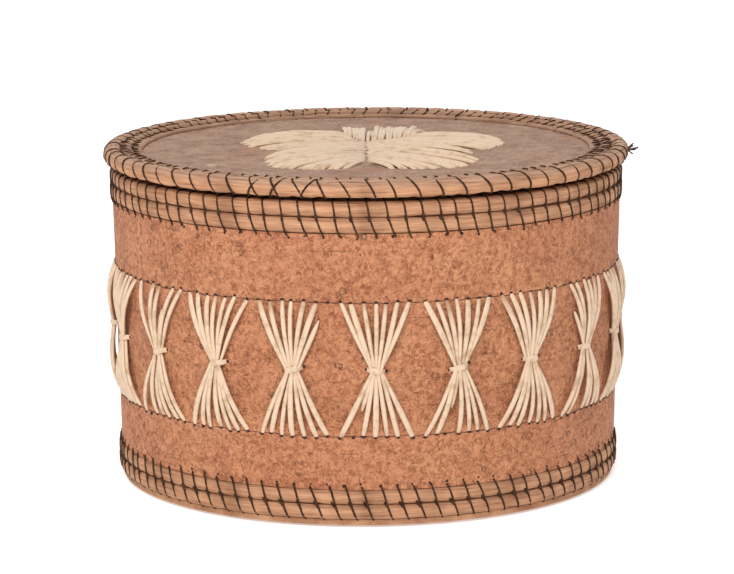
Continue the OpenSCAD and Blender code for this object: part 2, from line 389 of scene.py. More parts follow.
innerLook = {
    "wrinkle": 160,          # this and the next are counts to the metre
    "patches": 38,
    "pale": (0.50, 0.275, 0.150),
    "dark": (0.34, 0.150, 0.075),
    "relief": 0.25 * mm,
}


def innerBarkMaterial():
    material, shader = newMaterial("inner bark", 0.8)
    place = addNode(material, "ShaderNodeTexCoord")
    wrinkles = noiseOn(material, place, innerLook["wrinkle"], Detail=6.0, Roughness=0.68, Distortion=0.4)
    patches = noiseOn(material, place, innerLook["patches"], Detail=3.0, Roughness=0.6)
    ramp = rampOf(material, [(0.36, innerLook["dark"]), (0.60, innerLook["pale"])])
    wire(material, wrinkles, ramp, "Fac")
    blotch = rampOf(material, [(0.36, (0.84, 0.78, 0.74)), (0.60, (1.04, 1.04, 1.04))])
    wire(material, patches, blotch, "Fac")
    colour = mixColour(material, 1.0, ramp.outputs[0], blotch.outputs[0], "MULTIPLY")
    material.node_tree.links.new(colour, shader.inputs["Base Color"])
    addBump(material, shader, wrinkles.outputs[0], innerLook["relief"])
    return material


grassLook = {
    "around": 30,            # changes of colour along one row
    "across": 34,            # stalks side by side in one row
    "patches": 46,
    "fresh": {"pale": (0.60, 0.335, 0.190), "middle": (0.43, 0.204, 0.104), "dark": (0.135, 0.049, 0.023)},
    "edge": {"pale": (0.67, 0.372, 0.208), "middle": (0.485, 0.230, 0.117), "dark": (0.135, 0.049, 0.023)},
    "dull": {"pale": (0.56, 0.345, 0.220), "middle": (0.42, 0.225, 0.138), "dark": (0.14, 0.062, 0.036)},
    "dustFade": 2.2 * mm,
    "relief": 0.8 * mm,
}


def grassMaterial(name, colours, dustFrom=None):  # stalks run along the row; above dustFrom they are dull
    material, shader = newMaterial(name, 0.7)
    place = addNode(material, "ShaderNodeTexCoord")
    stalks = addNode(material, "ShaderNodeTexNoise", Scale=1.0, Detail=3.0, Roughness=0.6, Distortion=0.25)
    fibres = addNode(material, "ShaderNodeTexNoise", Scale=1.0, Detail=2.0, Roughness=0.7)
    patches = addNode(material, "ShaderNodeTexNoise", Scale=1.0, Detail=2.0)
    for noise, around, across in (
        (stalks, grassLook["around"], grassLook["across"] * 0.5),
        (fibres, grassLook["around"] * 2.2, grassLook["across"] * 2.4),
        (patches, grassLook["patches"], 2.0),
    ):
        scaling = addNode(material, "ShaderNodeMapping")
        scaling.inputs["Scale"].default_value = (around, across, 1)
        wire(material, place, scaling, "Vector", 2)
        wire(material, scaling, noise, "Vector")
    mixed = calc(material, "MULTIPLY", stalks.outputs[0], 0.65)
    mixed = calc(material, "MULTIPLY_ADD", fibres.outputs[0], 0.35, mixed)
    stops = [(0.30, colours["dark"]), (0.44, colours["middle"]), (0.62, colours["pale"])]
    ramp = rampOf(material, stops)
    material.node_tree.links.new(mixed, ramp.inputs["Fac"])
    blotch = rampOf(material, [(0.36, (0.74, 0.70, 0.66)), (0.58, (1.06, 1.04, 1.02))])
    wire(material, patches, blotch, "Fac")
    colour = mixColour(material, 1.0, ramp.outputs[0], blotch.outputs[0], "MULTIPLY")
    if dustFrom:
        heightNode = addNode(material, "ShaderNodeSeparateXYZ")
        wire(material, place, heightNode, "Vector", 3)
        above = calc(material, "SUBTRACT", heightNode.outputs[2], dustFrom)
        above = calc(material, "MULTIPLY_ADD", patches.outputs[0], 1.6 * mm, above)
        dust = calc(material, "DIVIDE", above, grassLook["dustFade"], clamp=True)
        dull = grassLook["dull"]
        dusty = rampOf(material, [(0.32, dull["dark"]), (0.46, dull["middle"]), (0.62, dull["pale"])])
        material.node_tree.links.new(mixed, dusty.inputs["Fac"])
        colour = mixColour(material, dust, colour, dusty.outputs[0])
    material.node_tree.links.new(colour, shader.inputs["Base Color"])
    addBump(material, shader, mixed, grassLook["relief"])
    return material


threadLook = {"dark": (0.022, 0.009, 0.004), "pale": (0.085, 0.038, 0.018), "relief": 0.15 * mm}


def threadMaterial():
    material, shader = newMaterial("dark thread", 0.8)
    shader.inputs["Specular IOR Level"].default_value = 0.15
    place = addNode(material, "ShaderNodeTexCoord")
    twist = noiseOn(material, place, 1500, Detail=2.0)
    ramp = rampOf(material, [(0.35, threadLook["dark"]), (0.65, threadLook["pale"])])
    wire(material, twist, ramp, "Fac")
    wire(material, ramp, shader, "Base Color")
    addBump(material, shader, twist.outputs[0], threadLook["relief"])
    return material


quillLook = {
    "cream": (0.70, 0.520, 0.365),
    "shade": (0.52, 0.350, 0.210),
    "brown": (0.34, 0.140, 0.070),
    "relief": 0.12 * mm,
}


def quillMaterial():
    material, shader = newMaterial("quill", 0.38)
    shader.inputs["Subsurface Weight"].default_value = 0.12
    shader.inputs["Subsurface Radius"].default_value = (0.8 * mm, 0.5 * mm, 0.3 * mm)
    place = addNode(material, "ShaderNodeTexCoord")
    along = noiseOn(material, place, 260, Detail=3.0, Roughness=0.6)
    streaks = noiseOn(material, place, 1400, Detail=2.0)
    ramp = rampOf(material, [(0.30, quillLook["shade"]), (0.50, quillLook["cream"])])
    wire(material, along, ramp, "Fac")
    tint = addNode(material, "ShaderNodeAttribute", attribute_name="tint")
    colour = mixColour(material, tint.outputs["Fac"], ramp.outputs[0], quillLook["brown"])
    material.node_tree.links.new(colour, shader.inputs["Base Color"])
    addBump(material, shader, streaks.outputs[0], quillLook["relief"])
    return material


# painted shade: colours of the flat dark discs that stand for the shade inside thread and quill holes
holeShadeLook = {"dark": (0.015, 0.006, 0.004), "pale": (0.14, 0.05, 0.025)}


# painted shade for holes, with a little lighter speckle
def holeShadeMaterial():
    material, shader = newMaterial("painted hole shade", 0.95)
    place = addNode(material, "ShaderNodeTexCoord")
    crumbs = noiseOn(material, place, 1800, Detail=2.0)
    ramp = rampOf(material, [(0.4, holeShadeLook["dark"]), (0.75, holeShadeLook["pale"])])
    wire(material, crumbs, ramp, "Fac")
    wire(material, ramp, shader, "Base Color")
    return material


fanLow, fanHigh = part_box("quill_fan_01")
bendRadius = 0.85 * mm   # of a quill where it turns into its hole
holeLines = (fanLow.z + bendRadius, fanHigh.z - bendRadius)

wallBark = wallBarkMaterial(holeLines)
lidBark = lidBarkMaterial()
innerBark = innerBarkMaterial()
grass = grassMaterial("grass", grassLook["fresh"])
dullGrass = grassMaterial("weathered grass", grassLook["dull"])
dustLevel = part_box("lid_edge_row")[1].z - 2.1 * mm
edgeGrass = grassMaterial("lid edge grass", grassLook["edge"], dustFrom=dustLevel)
thread = threadMaterial()
quill = quillMaterial()
holeShade = holeShadeMaterial()
print("materials made")


# tilt and roll are in degrees, and the lens and sensor in mm
view = {"place": (0.00006, -0.97295, 0.23955), "tilt": 79.27, "roll": -0.4, "lens": 161.17, "sensor": 36}

bpy.ops.object.camera_add(location=view["place"])
camera = bpy.context.object
tilted = Matrix.Rotation(math.radians(view["tilt"]), 3, "X")
camera.rotation_euler = (tilted @ Matrix.Rotation(math.radians(view["roll"]), 3, "Z")).to_euler()
camera.data.lens = view["lens"]
camera.data.sensor_width = view["sensor"]
scene.camera = camera

floorLook = {"size": 12, "colour": (0.97, 0.97, 0.97, 1), "glow": 0.4}

bpy.ops.mesh.primitive_plane_add(size=floorLook["size"], location=(0, 0, 0))
floor = bpy.context.object
floor.name = "floor"
floorPaint, floorShader = newMaterial("floor", 0.9)
floorShader.inputs["Base Color"].default_value = floorLook["colour"]
floorShader.inputs["Emission Color"].default_value = (1, 1, 1, 1)
floorShader.inputs["Emission Strength"].default_value = floorLook["glow"]
floor.data.materials.append(floorPaint)

sky = {"behind": 1.0, "frontLeft": 0.40, "frontRight": 0.22}   # how bright the studio is all around


def makeSky():
    world = bpy.data.worlds.new("studio")
    scene.world = world
    world.use_nodes = True
    around = addNode(world, "ShaderNodeTexCoord")
    sides = addNode(world, "ShaderNodeSeparateXYZ")
    wire(world, around, sides, "Vector")
    rightward = calc(world, "MULTIPLY_ADD", sides.outputs[0], 0.7, 0.5, clamp=True)
    behind = calc(world, "MULTIPLY_ADD", sides.outputs[1], 2.0, 0.2, clamp=True)
    front = calc(world, "MULTIPLY_ADD", rightward, sky["frontRight"] - sky["frontLeft"], sky["frontLeft"])
    rest = calc(world, "SUBTRACT", sky["behind"], front)
    level = calc(world, "MULTIPLY_ADD", behind, rest, front)
    world.node_tree.links.new(level, world.node_tree.nodes["Background"].inputs["Strength"])
    world.node_tree.nodes["Background"].inputs["Color"].default_value = (1, 1, 1, 1)


makeSky()

keyLight = {"place": Vector((-0.16, -1.12, 1.18)), "aim": Vector((0, 0, 0.05)), "size": 0.9, "power": 20.5}

bpy.ops.object.light_add(type="AREA", location=keyLight["place"])
lamp = bpy.context.object
lamp.name = "key"
lamp.data.size = keyLight["size"]
lamp.data.energy = keyLight["power"]
lamp.rotation_euler = (keyLight["aim"] - keyLight["place"]).to_track_quat("-Z", "Y").to_euler()

scene.view_settings.view_transform = "Standard"
print("camera, light and floor placed")


wallLow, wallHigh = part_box("outer_wall")
wall = {
    "topRadius": wallHigh.x + 0.6 * mm,   # the bark bellies out a little below the mouth
    "footRadius": 74.5 * mm,
    "thickness": 1.6 * mm,
    "columns": 240,
    "rings": 70,
    "waveSize": 20 * mm,
    "waves": 0.45 * mm,
    "seamAngle": 100.8,
    "seamGap": 0.3 * mm,
}


def wallRadius(z):
    share = (z - wallLow.z) / (wallHigh.z - wallLow.z)
    return wall["footRadius"] + (wall["topRadius"] - wall["footRadius"]) * share


def onWall(angle, along, z, out):  # a point near the wall: along is a distance around it from the angle
    radius = wallRadius(z)
    turn = math.radians(angle) + along / radius
    return Vector(((radius + out) * math.cos(turn), (radius + out) * math.sin(turn), z))


def outwards(angle, along=0.0):
    turn = math.radians(angle) + along / wall["topRadius"]
    return Vector((math.cos(turn), math.sin(turn), 0))


def openSeam(piece):  # rips the sheet open along one column and draws its two ends a little apart
    step = math.radians(360 / wall["columns"])
    seam = math.radians(wall["seamAngle"])

    def fromSeam(co):
        return math.remainder(math.atan2(co.y, co.x) - seam, 2 * math.pi)

    def onSeam(co):
        return abs(fromSeam(co)) < step / 4

    pick(piece, "EDGE", lambda edge: all(onSeam(co) for co in endsOf(piece, edge)))
    bpy.ops.mesh.edge_split(type="EDGE")
    bpy.ops.object.mode_set(mode="OBJECT")
    sideOf = {}
    for face in piece.data.polygons:
        for index in face.vertices:
            if onSeam(piece.data.vertices[index].co):
                sideOf[index] = fromSeam(face.center)
    half = wall["seamGap"] / 2 / wall["topRadius"]
    for index, side in sideOf.items():
        vert = piece.data.vertices[index]
        vert.co = Matrix.Rotation(math.copysign(half, side), 3, "Z") @ vert.co


def makeWall():
    clearSelection()
    tall = wallHigh.z - wallLow.z
    bpy.ops.mesh.primitive_cone_add(
        vertices=wall["columns"], radius1=wall["footRadius"], radius2=wall["topRadius"],
        depth=tall, end_fill_type="NOTHING", location=(0, 0, wallLow.z + tall / 2),
        rotation=(0, 0, math.radians(wall["seamAngle"] - 90)))
    piece = bpy.context.object
    bpy.ops.object.transform_apply(location=True, rotation=True, scale=True)

    def isUpright(edge):
        first, last = endsOf(piece, edge)
        return abs(first.z - last.z) > tall / 2

    pick(piece, "EDGE", isUpright)
    bpy.ops.mesh.subdivide(number_cuts=wall["rings"])
    openSeam(piece)
    addWaves(piece, "wall waves", wall["waveSize"], wall["waves"])
    skin = piece.modifiers.new("skin", "SOLIDIFY")
    skin.thickness = wall["thickness"]
    skin.offset = -1   # inwards
    applyModifiers(piece)
    piece.name = "wall_bark"
    return piece


finishPiece(makeWall(), "box", wallBark, ["outer_wall"], smooth=50)
print("wall made")

for nodeName in ("wall_lining", "base_disc", "base_lining", "lid_lining", "lid_collar"):
    paintNode(nodeName, innerBark)


lidLow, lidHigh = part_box("lid_disc")
lidPlate = {"waveSize": 25 * mm, "waves": 0.5 * mm, "waveMiddle": 0.55, "edges": 160, "rings": 26}


def makeLidDisc():
    clearSelection()
    radius = lidHigh.x
    thick = lidHigh.z - lidLow.z
    bpy.ops.mesh.primitive_cylinder_add(
        vertices=lidPlate["edges"], radius=radius, depth=thick, end_fill_type="NGON",
        location=(0, 0, lidLow.z + thick / 2))
    piece = bpy.context.object
    bpy.ops.object.transform_apply(location=True, rotation=True, scale=True)
    for side in (1, -1):
        pick(piece, "FACE", lambda face: face.normal.z * side > 0.9)
        for ring in range(lidPlate["rings"]):
            bpy.ops.mesh.inset(thickness=radius / (lidPlate["rings"] + 1), depth=0)
        bpy.ops.mesh.poke()
        bpy.ops.object.mode_set(mode="OBJECT")
    waves = addWaves(piece, "lid waves", lidPlate["waveSize"], lidPlate["waves"], lidPlate["waveMiddle"])
    waves.direction = "Z"
    applyModifiers(piece)
    piece.name = "lid_bark"
    return piece


finishPiece(makeLidDisc(), "lid", lidBark, ["lid_disc"], smooth=50)
print("lid disc made")


# square: how boxy the section is, where 2 is round; grow and drop change its size and height
# flat squeezes the section's height, and pressed sets its underside lower
boxRow = {"body": "box", "look": grass, "stitches": 96, "pinch": 0.12 * mm, "lumps": 0.35 * mm, "square": 3.4}
lidRow = {"body": "lid", "look": dullGrass, "stitches": 72, "pinch": 0.15 * mm, "lumps": 0.6 * mm}
rows = {
    "foot_row_lower": boxRow,
    "foot_row_upper": boxRow,
    "mouth_row_lower": {**boxRow, "square": 3.6},
    "mouth_row_upper": {**boxRow, "square": 3.0},
    "lid_edge_row": {
        **lidRow, "look": edgeGrass, "pinch": 0.25 * mm, "lumps": 0.5 * mm,
        "square": 2.3, "grow": 0.2 * mm, "drop": 0.3 * mm,
    },
    "lid_middle_row": {**lidRow, "square": 2.4, "flat": 0.85, "pressed": 0.3 * mm},
    "lid_inner_row": {**lidRow, "square": 2.1, "flat": 0.65, "pressed": 0.6 * mm},
}
rowMesh = {"perStitch": 4, "around": 20, "flatSpread": 1.3, "lumpSize": 6 * mm}


def crossSection(node):  # of a row: the radius and height of its middle, and half its thickness
    low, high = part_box(node)
    half = (high.z - low.z) / 2
    facts = rows[node]
    return high.x - half, low.z + half - facts.get("drop", 0), half + facts.get("grow", 0)


def onSection(node, degrees, reach):  # a point on a row's boxy section, at an angle around it
    power = 2 / rows[node]["square"]
    across, up = math.cos(math.radians(degrees)), math.sin(math.radians(degrees))
    return reach * math.copysign(abs(across) ** power, across), reach * math.copysign(abs(up) ** power, up)


def makeRow(node, facts):
    clearSelection()
    ring, level, half = crossSection(node)
    bpy.ops.mesh.primitive_torus_add(
        major_radius=ring, minor_radius=half, major_segments=facts["stitches"] * rowMesh["perStitch"],
        minor_segments=rowMesh["around"], location=(0, 0, 0), generate_uvs=True)
    piece = bpy.context.object
    spread = rowMesh["flatSpread"] if "flat" in facts else 1.0
    bottom = level - half - facts.get("pressed", 0)
    for vert in piece.data.vertices:
        reach = math.hypot(vert.co.x, vert.co.y)
        across, up = onSection(node, math.degrees(math.atan2(vert.co.z, reach - ring)), half)
        wider = (ring + across * spread) / reach
        height = bottom + (half + up) * facts.get("flat", 1)
        vert.co = Vector((vert.co.x * wider, vert.co.y * wider, height))
    step = 2 * math.pi / facts["stitches"]

    def underStitch(vert):
        turn = math.atan2(vert.co.y, vert.co.x) / step
        return abs(turn - round(turn)) < 0.1

    pick(piece, "VERT", underStitch)
    bpy.ops.transform.shrink_fatten(value=-facts["pinch"])
    bpy.ops.object.mode_set(mode="OBJECT")
    addWaves(piece, node + " lumps", rowMesh["lumpSize"], facts["lumps"])
    applyModifiers(piece)
    piece.name = "grass_" + node
    finishPiece(piece, facts["body"], facts["look"], [node])


for rowNode, rowFacts in rows.items():
    makeRow(rowNode, rowFacts)
print("grass rows made")


stitching = {
    "thickness": 0.6 * mm,
    "kinds": 6,              # different stitches to choose from around each rim
    "sink": 0.19 * mm,       # how far a stitch is pulled into the grass
    "worn": 0.22 * mm,       # and how much further on top of the lid
}
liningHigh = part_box("wall_lining")[1]
footLow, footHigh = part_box("foot_thread")


def rimPoint(radius, along, z):  # along is a distance around the rim, to the right at the front
    angle = along / radius
    return (radius * math.cos(angle), radius * math.sin(angle), z)


def overRow(node, path):  # each step is an angle around the section and a distance along the row in mm
    radius, level, half = crossSection(node)
    points = []
    for degrees, along in path:
        sink = stitching["sink"]
        if rows[node]["body"] == "lid":
            sink += stitching["worn"] * max(0, math.sin(math.radians(degrees)))
        across, up = onSection(node, degrees, half + stitching["thickness"] / 2 - sink)
        points.append((radius + across, along * mm, level + up))
    return points


def strandsToMesh(strands, name):  # each strand is a list of (radius, distance along, height) and a thickness
    pieces = [layThread([rimPoint(*point) for point in points], thickness) for points, thickness in strands]
    return joinAs(name, pieces)


def sewRim(name, body, node, makeStitch, kinds, count, sway, extras=()):  # sway is in degrees
    stitches = [makeStitch() for kind in range(kinds)]
    blanks = [strandsToMesh(strands, name + " blank") for strands in stitches]
    copies = []
    for index in range(count):
        blank = dice.choice(blanks)
        copies.append(copyOf(blank, turned(index * 360 / count + dice.uniform(-sway, sway))))
    for blank in blanks:
        bpy.data.objects.remove(blank)
    finishPiece(joinAs(name, copies + list(extras)), body, thread, [node])


# how far the painted hole shade discs stand out from the bark
holeShadeDepth = {"thread": 0.12 * mm, "quill": 0.22 * mm}

# a small ball, flattened into each painted hole shade disc
bpy.ops.mesh.primitive_ico_sphere_add(subdivisions=1, radius=1)
holeShadeBlank = bpy.context.object


def holeShadesAround(name, count, start, radius, level, sway):  # painted shade: flat near-black discs where a thread goes into the bark, standing for the shade in its hole
    marks = []
    for index in range(count):
        turn = math.degrees(start / radius) + index * 360 / count
        size = dice.uniform(0.32, 0.55) * mm
        spot = Vector((radius, dice.uniform(-sway, sway) * mm, level + dice.uniform(-sway, sway) * mm))
        flattened = Matrix.Diagonal((holeShadeDepth["thread"], size, size, 1))
        marks.append(copyOf(holeShadeBlank, turned(turn) @ Matrix.Translation(spot) @ flattened))
    finishPiece(joinAs(name, marks), "box", holeShade, smooth=80)


mouth = {
    "count": rows["mouth_row_lower"]["stitches"],
    "holeLevel": wallHigh.z - 1.0 * mm,
    "holeAlong": 2.7,        # in mm from the top of the stitch
    "sway": 0.25,
}


def mouthStitch():  # out of a hole in the bark, up over both rows, down inside, and a knot between the rows
    lean = dice.uniform(-0.5, 0.5)
    jog = dice.uniform(0.2, 0.7)
    holeZ = mouth["holeLevel"]
    holeX = mouth["holeAlong"] + lean
    bark = wall["topRadius"]
    hole = [
        (bark - 0.6 * mm, (holeX + 0.05) * mm, holeZ),
        (bark + 0.25 * mm, holeX * mm, holeZ + 0.3 * mm),
        (bark + 0.3 * mm, (holeX - 0.2) * mm, wallHigh.z - 0.1 * mm),
    ]
    lower = [(-40, 2.1 + lean), (0, 1.6 + lean * 0.6), (35, 1.15 + lean * 0.3)]
    upper = [(-35, 0.95), (0, 0.7), (40, 0.4), (58, 0.2), (74, 0.1), (95, 0)]
    top = liningHigh.z + 0.3 * mm
    inner = liningHigh.x - 1.5 * mm
    back = [
        (inner + 1.3 * mm, 0, top),
        (inner, 0.1 * mm, top - 0.3 * mm),
        (inner - 0.05 * mm, 0.8 * mm, holeZ + 4 * mm),
        (inner - 0.05 * mm, 1.6 * mm, holeZ + 0.4 * mm),
        (inner + 1.0 * mm, 1.8 * mm, holeZ),
    ]
    main = hole + overRow("mouth_row_lower", lower) + overRow("mouth_row_upper", upper) + back
    knot = overRow("mouth_row_lower", [(20, 1.5 - jog + lean * 0.4), (48, 1.1 - jog)])
    knot += overRow("mouth_row_upper", [(-48, 1.0 - jog * 0.6), (-25, 0.85)])
    return [(main, stitching["thickness"]), (knot, dice.uniform(0.35, 0.55) * mm)]


sewRim(
    "mouth_stitches", "box", "mouth_thread", mouthStitch, stitching["kinds"],
    mouth["count"], mouth["sway"])
# painted shade of the thread holes under the mouth stitches
holeShadesAround(
    "mouth_hole_shade", mouth["count"], mouth["holeAlong"] * mm,
    wall["topRadius"] - 0.02 * mm, mouth["holeLevel"], 0.3)

foot = {
    "count": rows["foot_row_lower"]["stitches"],
    "holeLevels": (wallLow.z + 0.8 * mm, wallLow.z + 2.0 * mm),
    "holeAlong": -1.9,
    "sway": 0.3,
}


def footStitch():  # out of a hole in the bark, down over both rows, in under the base, and a knot
    lean = dice.uniform(-0.4, 0.4)
    jog = dice.uniform(0.2, 0.6)
    holeZ = dice.uniform(*foot["holeLevels"])
    holeX = foot["holeAlong"] + lean
    bark = wall["footRadius"]
    hole = [
        (bark - 0.5 * mm, holeX * mm, holeZ),
        (bark + 0.25 * mm, (holeX + 0.1) * mm, holeZ - 0.3 * mm),
        (bark + 0.3 * mm, (holeX + 0.35) * mm, wallLow.z + 0.3 * mm),
    ]
    upper = [(40, -1.2 + lean), (0, -0.6 + lean * 0.6), (-35, -0.1 + lean * 0.3)]
    lower = [(35, 0.2), (0, 0.9), (-45, 1.5), (-80, 2.0)]
    inner = liningHigh.x - 1.5 * mm
    under = [
        (footHigh.x - 4.2 * mm, 2.0 * mm, footLow.z + 0.5 * mm),
        (inner, 2.0 * mm, footLow.z + 0.4 * mm),
        (inner, 1.6 * mm, footLow.z + 1.2 * mm),
    ]
    main = hole + overRow("foot_row_upper", upper) + overRow("foot_row_lower", lower) + under
    knot = overRow("foot_row_upper", [(-20, -0.5 - jog + lean * 0.4), (-45, -0.3 - jog)])
    knot += overRow("foot_row_lower", [(45, 0.1 - jog * 0.6), (20, 0.4)])
    return [(main, stitching["thickness"] * 1.05), (knot, dice.uniform(0.5, 0.75) * mm)]


sewRim(
    "foot_stitches", "box", "foot_thread", footStitch, stitching["kinds"],
    foot["count"], foot["sway"])
# painted shade of the thread holes at the foot stitches
holeShadesAround(
    "foot_hole_shade", foot["count"], foot["holeAlong"] * mm,
    wall["footRadius"] + 0.05 * mm, sum(foot["holeLevels"]) / 2, 0.4)

lidEdge = {
    "path": (
        (150, -0.9), (120, -0.9), (95, -0.8), (65, -0.5), (32, 0.3),
        (5, 1.2), (-25, 1.9), (-60, 2.3), (-88, 2.4),
    ),
    "slants": (0.75, 1.15),
    "sway": 0.5,
    "crossings": (-113.1, -108.1, -101.4),   # angles of stitches that cross over their neighbours
    "crossingSlant": -1.3,
}


def lidEdgeStitch(slant=None):  # out of the bark, over the edge row and back underneath
    slant = slant or dice.uniform(*lidEdge["slants"])
    over = overRow("lid_edge_row", [(degrees, along * slant) for degrees, along in lidEdge["path"]])
    radius, level, half = crossSection("lid_edge_row")
    inner = radius - half
    down = [(inner - 0.4 * mm, -1.0 * slant * mm, lidHigh.z - 0.3 * mm)]
    bottom = level - half - 0.25 * mm
    under = [(inner, 2.4 * slant * mm, bottom), (inner - 1.5 * mm, 2.2 * slant * mm, bottom + 0.3 * mm)]
    return [(down + over + under, stitching["thickness"] * dice.uniform(0.95, 1.15))]


crossings = []
for turn in lidEdge["crossings"]:
    crossing = strandsToMesh(lidEdgeStitch(lidEdge["crossingSlant"]), "crossing stitch")
    crossings.append(copyOf(crossing, turned(turn)))
    bpy.data.objects.remove(crossing)
sewRim(
    "lid_edge_stitches", "lid", "lid_edge_thread", lidEdgeStitch, stitching["kinds"],
    rows["lid_edge_row"]["stitches"], lidEdge["sway"], crossings)

lidTop = {
    "count": 112,
    "kinds": 12,
    "sway": 0.5,
    "heights": (-0.1, 0.9, 1.2, 1.15, 1.9, 2.05, 1.9),   # in mm above the bark, from the inner row outwards
    "waves": (0, 0.5, 0.9, 0.4, -0.3, -0.5, 0),
}


def lidTopStitch():  # a thin wavy stitch straight across the flattened rows
    inner = crossSection("lid_inner_row")
    outer = crossSection("lid_middle_row")
    sway = dice.uniform(-0.7, 0.7)
    start = inner[0] - inner[2] * dice.uniform(1.0, 1.5)
    finish = outer[0] + outer[2] * dice.uniform(1.2, 1.8)
    points = []
    for index, (height, wave) in enumerate(zip(lidTop["heights"], lidTop["waves"])):
        share = index / (len(lidTop["heights"]) - 1)
        points.append((start + (finish - start) * share, (wave + sway * share) * mm, lidHigh.z + height * mm))
    return [(points, stitching["thickness"] * dice.uniform(0.55, 0.8))]


sewRim(
    "lid_inner_stitches", "lid", "lid_inner_thread", lidTopStitch, lidTop["kinds"],
    lidTop["count"], lidTop["sway"])

tuft = {
    "angle": -3,
    "ends": 7,
    "pitch": 0.45 * mm,
    "reach": (1.2, 3.6),     # this and the next two are the least and the most in mm
    "rise": (-1.4, 1.6),
    "thickness": (0.35, 0.7),
}


def makeTuft():  # where the grass runs out at the lid's right side
    radius, level, half = crossSection("lid_edge_row")
    outside = radius + half
    strands = []
    for index in range(tuft["ends"]):
        along = (index - (tuft["ends"] - 1) / 2) * tuft["pitch"]
        reach = dice.uniform(*tuft["reach"]) * mm
        rise = dice.uniform(*tuft["rise"]) * mm
        points = [
            (outside - 1.5 * mm, along, level),
            (outside, along * 1.1, level + 0.2 * rise),
            (outside + reach * 0.5, along * 1.3, level + 0.4 * rise),
            (outside + reach, along * 1.5, level + rise),
        ]
        strands.append((points, dice.uniform(*tuft["thickness"]) * mm))
    piece = strandsToMesh(strands, "lid_tuft")
    piece.data.transform(turned(tuft["angle"]))
    finishPiece(piece, "lid", thread)


makeTuft()
print("stitches made")


quillMesh = {"sides": 8, "cuts": 9}


def makeQuill():  # one unit long from its hole at x = 0, one unit wide and thick
    clearSelection()
    bpy.ops.mesh.primitive_cylinder_add(
        vertices=quillMesh["sides"], radius=0.5, depth=1, end_fill_type="NGON",
        location=(0.5, 0, 0), rotation=(0, math.radians(90), 0))
    piece = bpy.context.object
    bpy.ops.object.transform_apply(location=True, rotation=True, scale=True)

    def isLengthways(edge):
        first, last = endsOf(piece, edge)
        return abs(first.x - last.x) > 0.5

    pick(piece, "EDGE", isLengthways)
    bpy.ops.mesh.subdivide(number_cuts=quillMesh["cuts"])
    bpy.ops.object.mode_set(mode="OBJECT")
    return piece


quillBlank = makeQuill()


def shapedQuill(lifts, widths):  # both are given from the hole to the far end
    piece = copyOf(quillBlank, Matrix())
    last = len(lifts) - 1
    for vert in piece.data.vertices:
        place = vert.co.x * last
        index = min(int(place), last - 1)
        share = place - index
        lift, wide = (row[index] + (row[index + 1] - row[index]) * share for row in (lifts, widths))
        vert.co.y *= wide
        vert.co.z = vert.co.z * (0.5 + 0.5 * wide) + lift
    return piece


def tintQuill(piece, fromHole, amount):  # brown near the hole, fading along the quill
    layer = piece.data.attributes.new("tint", "FLOAT", "POINT")
    for index, vert in enumerate(piece.data.vertices):
        layer.data[index].value = max(0.0, amount * (1 - vert.co.x / fromHole))


def placeQuill(kind, start, end, up, wide, thick, brown, reach):  # reach: how much of its length is brown
    along = end - start
    side = up.cross(along).normalized()
    top = along.cross(side).normalized()
    columns = (along, side * wide, top * thick, start)
    piece = copyOf(kind, Matrix())
    tintQuill(piece, reach, brown)
    placing = Matrix([[column[row] for column in columns] for row in range(3)] + [[0, 0, 0, 1]])
    piece.data.transform(placing)
    return piece


fanQuill = shapedQuill(
    lifts=(-1.3, 0.0, 0.7, 1.1, 1.25, 1.15, 0.85, 0.42, 0.1),
    widths=(0.72, 0.98, 1.0, 1.0, 0.98, 0.92, 0.8, 0.68, 0.62))
stubQuill = shapedQuill(
    lifts=(0.3, 0.4, 0.5, 0.5, 0.5, 0.45, 0.3, 0.1, 0.0),
    widths=(0.25, 0.8, 0.98, 1.0, 1.0, 0.95, 0.8, 0.68, 0.62))
bandQuill = shapedQuill(
    lifts=(-1.5, -0.6, 0.3, 0.5, 0.55, 0.5, 0.2, -0.7, -2.0),
    widths=(0.75, 0.95, 1.05, 1.1, 1.1, 1.05, 1.0, 0.9, 0.6))
petalQuill = shapedQuill(
    lifts=(-0.7, 0.0, 0.12, 0.15, 0.15, 0.12, 0.05, -0.1, -0.9),
    widths=(0.6, 0.8, 0.86, 0.92, 1.0, 1.06, 1.12, 1.12, 0.8))

fan = {
    "count": 20,
    "turn": -88.2,           # the first fan's angle
    "quills": 7,
    "waist": sum(holeLines) / 2,
    "markOut": 0.35 * mm,    # from the line of holes to the middle of a painted hole shade
    "startOut": 1.05 * mm,   # and to where a quill starts under the bark's face
    "holePitch": 3.3 * mm,
    "waistPitch": 0.40 * mm,
    "wide": 1.5 * mm,
    "thick": 1.1 * mm,
    "lift": 0.55 * mm,       # of the lowest quill at the waist, with a layer for each of the others
    "layer": 0.13 * mm,
    "missing": 0.035,        # share of the quills that are lost
    "broken": 0.05,          # and of those broken off short
    "brown": 0.28,           # share of the upper quills that are brown at the hole
    "brownish": 0.2,         # and of the others that are a little brown there
}
# painted shade: dark discs for the shade inside the quill holes
quillHoleShades = []


# painted shade: a flat dark disc on the bark for the shade inside a quill hole
def makeHoleShade(angle, along, level, wide, tall):
    place = onWall(angle, along, level, 0.02 * mm)
    facing = turned(angle + math.degrees(along / wallRadius(level)))
    flattened = Matrix.Diagonal((holeShadeDepth["quill"], wide, tall, 1))
    quillHoleShades.append(copyOf(holeShadeBlank, Matrix.Translation(place) @ facing @ flattened))


def brownness(side):
    if side > 0 and dice.random() < fan["brown"]:
        return dice.uniform(0.5, 0.95)
    if dice.random() < fan["brownish"]:
        return dice.uniform(0.15, 0.4)
    return 0.0


